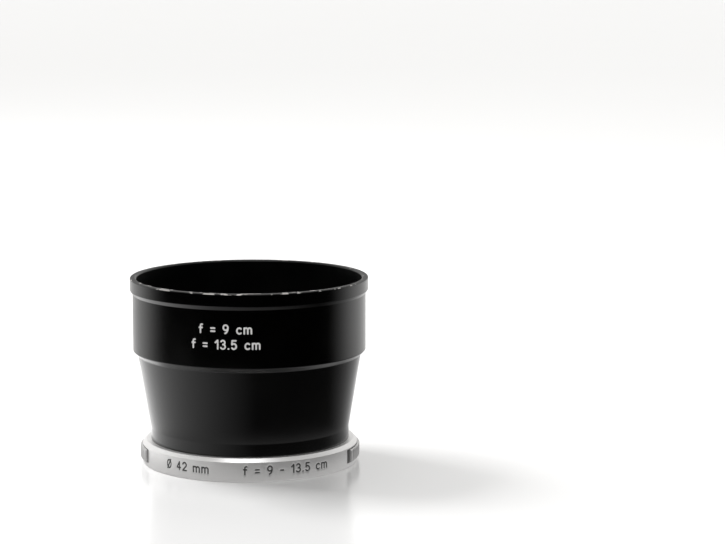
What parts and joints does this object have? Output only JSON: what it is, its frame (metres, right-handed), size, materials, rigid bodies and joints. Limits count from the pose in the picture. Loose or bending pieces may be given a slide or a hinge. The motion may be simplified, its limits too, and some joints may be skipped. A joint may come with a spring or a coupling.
{
  "type": "lens hood",
  "caption": "Clip-on lens hood: a black tapered shell with a wider front barrel on a bright mount ring, held by sprung claws that side buttons release.",
  "frame": {"origin": "centre of the rear face, on the hood's axis; the hood stands on that face", "axes": "+Z along the axis from the rear face to the front opening, +X through the right button, -Y through the middle of the marks on the mount ring"},
  "size_m": [0.0562, 0.0562, 0.044],
  "materials": {
    "black_lacquer": "semi-gloss black lacquer outside, matt black inside, worn at the front lip",
    "satin_chrome": "fine-turned satin chrome",
    "button_chrome": "satin chrome with upright grooves",
    "black_brass": "blackened brass",
    "screw_steel": "polished slotted heads",
    "lever_steel": "stamped, tumbled steel",
    "spring_steel": "blued spring wire",
    "brass": "plain turned brass"
  },
  "bodies": {
    "hood": {"hood_shell": "black_lacquer", "mount_ring": "satin_chrome", "rear_cover": "satin_chrome", "lock_ring": "black_brass", "cover_screw_left": "screw_steel", "pivot_screw_left": "screw_steel", "return_spring_left": "spring_steel", "cover_screw_right": "screw_steel", "pivot_screw_right": "screw_steel", "return_spring_right": "spring_steel"},
    "left_catch": {"lever_left": "lever_steel", "button_left": "button_chrome", "button_rivet_left_1": "brass", "button_rivet_left_2": "brass", "pivot_bush_left": "brass"},
    "right_catch": {"lever_right": "lever_steel", "button_right": "button_chrome", "button_rivet_right_1": "brass", "button_rivet_right_2": "brass", "pivot_bush_right": "brass"}
  },
  "joints": [
    {"name": "left_catch_press", "type": "hinge", "parent": "hood", "child": "left_catch", "pos_m": [-0.01651, -0.01651, 0.002], "axis": [0, 0, -1], "range_deg": [0, 2.6], "stiffness_Nm_per_rad": 0.02, "springref_deg": -45.84, "deforming": ["return_spring_left"]},
    {"name": "right_catch_press", "type": "hinge", "parent": "hood", "child": "right_catch", "pos_m": [0.01651, 0.01651, 0.002], "axis": [0, 0, -1], "range_deg": [0, 2.6], "stiffness_Nm_per_rad": 0.02, "springref_deg": -45.84, "deforming": ["return_spring_right"]}
  ]
}
